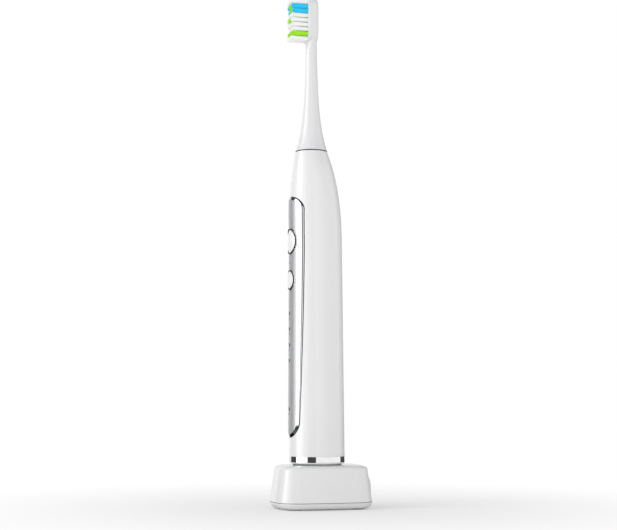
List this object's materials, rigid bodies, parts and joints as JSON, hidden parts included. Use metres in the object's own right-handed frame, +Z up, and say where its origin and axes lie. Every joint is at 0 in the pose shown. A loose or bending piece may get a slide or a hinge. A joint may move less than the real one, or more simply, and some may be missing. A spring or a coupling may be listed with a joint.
{
  "type": "electric toothbrush on charger",
  "caption": "Slim white electric toothbrush with a front control panel, standing on a rounded inductive charging base.",
  "frame": {"origin": "centre of the charging base's footprint, on the surface that it stands on", "axes": "+Z up, -Y the brush's and the control panel's front, +Y the cord side, X across"},
  "size_m": [0.037, 0.052, 0.2703],
  "materials": {
    "white_gloss": "gloss white moulding",
    "white_satin": "gloss white base plate",
    "grey_rubber": "matt dark grey",
    "foot_rubber": "matt light grey",
    "white_rubber": "matt off-white",
    "pearl_panel": "satin pearl silver",
    "chrome_trim": "mirror plated",
    "button_white": "gloss white cap",
    "smoked_window": "smoked clear rod",
    "board_green": "solder resist",
    "component_black": "moulded packages",
    "lamp_white": "small lamps",
    "steel": "turned steel",
    "copper_wire": "enamelled copper winding",
    "ferrite": "sintered ferrite",
    "black_plastic": "black moulding",
    "grey_plastic": "natural grey moulding",
    "cell_wrap": "shrink wrapped cell",
    "nickel": "nickel strip",
    "magnet": "plated magnet",
    "bronze": "sintered bronze",
    "head_white": "gloss white neck and plate",
    "bristle_white": "nylon filaments",
    "bristle_blue": "nylon filaments",
    "bristle_green": "nylon filaments"
  },
  "bodies": {
    "charger_base": {"base_shell": "white_gloss", "base_plate": "white_satin", "base_screws": "steel", "rubber_feet": "foot_rubber", "seat_ring": "grey_rubber", "cord_gland": "white_rubber", "transmitter_core": "ferrite", "transmitter_bobbin": "black_plastic", "transmitter_coil": "copper_wire", "base_circuit_board": "board_green", "base_board_components": "component_black"},
    "handle": {"handle_housing": "white_gloss", "faceplate": "pearl_panel", "faceplate_trim": "chrome_trim", "power_button_ring": "chrome_trim", "mode_button_ring": "chrome_trim", "button_membranes": "white_rubber", "light_guides": "smoked_window", "circuit_board": "board_green", "board_components": "component_black", "board_screws": "steel", "tact_switches": "black_plastic", "indicator_lamps": "lamp_white", "foot_ring": "chrome_trim", "bottom_cap": "white_gloss", "bottom_seal": "grey_rubber", "receiver_bobbin": "black_plastic", "receiver_coil": "copper_wire", "inner_carrier": "grey_plastic", "battery_cell": "cell_wrap", "battery_tabs": "nickel", "motor_can": "steel", "motor_end_cap": "black_plastic", "motor_damper": "grey_rubber", "stator_core": "ferrite", "stator_bobbin": "black_plastic", "stator_coil": "copper_wire", "upper_bearing": "bronze", "lower_bearing": "bronze", "bearing_bracket": "black_plastic", "centering_spring": "steel", "shaft_seal": "grey_rubber"},
    "power_button": {"power_button": "button_white"},
    "mode_button": {"mode_button": "button_white"},
    "rotor": {"drive_shaft": "steel", "rotor_yoke": "steel", "rotor_magnets": "magnet"},
    "brush_head": {"head_body": "head_white", "coupling_insert": "grey_plastic", "retaining_clip": "steel", "white_bristles": "bristle_white", "blue_bristles": "bristle_blue", "green_bristles": "bristle_green", "tuft_anchors": "nickel"}
  },
  "joints": [
    {"name": "handle_lift", "type": "slide", "parent": "charger_base", "child": "handle", "axis": [0, 0, 1], "range_m": [0, 0.04]},
    {"name": "shaft_twist", "type": "hinge", "parent": "handle", "child": "rotor", "pos_m": [0, -0.00508, 0.16], "axis": [0, 0, 1], "range_deg": [-5, 5], "stiffness_Nm_per_rad": 0.05, "deforming": ["centering_spring"]},
    {"name": "head_pull_off", "type": "slide", "parent": "rotor", "child": "brush_head", "axis": [0, 0, 1], "range_m": [0, 0.025]},
    {"name": "power_press", "type": "slide", "parent": "handle", "child": "power_button", "axis": [0, 1, 0], "range_m": [0, 0.0004], "stiffness_N_per_m": 1500, "springref_m": -0.0005, "deforming": ["button_membranes"]},
    {"name": "mode_press", "type": "slide", "parent": "handle", "child": "mode_button", "axis": [0, 1, 0], "range_m": [0, 0.0004], "stiffness_N_per_m": 1500, "springref_m": -0.0005, "deforming": ["button_membranes"]}
  ]
}
